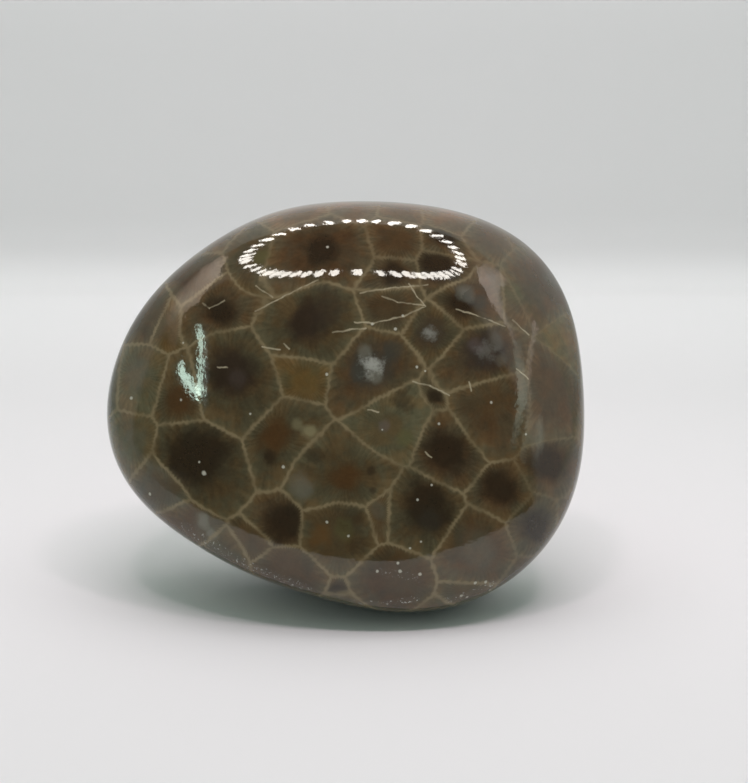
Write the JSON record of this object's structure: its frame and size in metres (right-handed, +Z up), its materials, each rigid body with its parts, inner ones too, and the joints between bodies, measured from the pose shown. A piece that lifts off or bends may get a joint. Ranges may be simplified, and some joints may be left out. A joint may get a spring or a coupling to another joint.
{
  "type": "petoskey stone",
  "caption": "Tumbled and polished pebble of fossil coral with a broad domed face, soft shoulders and a small worn flat to rest on.",
  "frame": {"origin": "centre of the stone's box on X and Y, on the surface that it rests on", "axes": "+X across the broad face to its right, +Y from the broad face to the back, +Z up"},
  "size_m": [0.06, 0.0376, 0.0496],
  "materials": {
    "polished_stone": "high polish, olive brown fossil coral with paler cell walls"
  },
  "bodies": {
    "root": {"petoskey_stone": "polished_stone"}
  },
  "joints": []
}
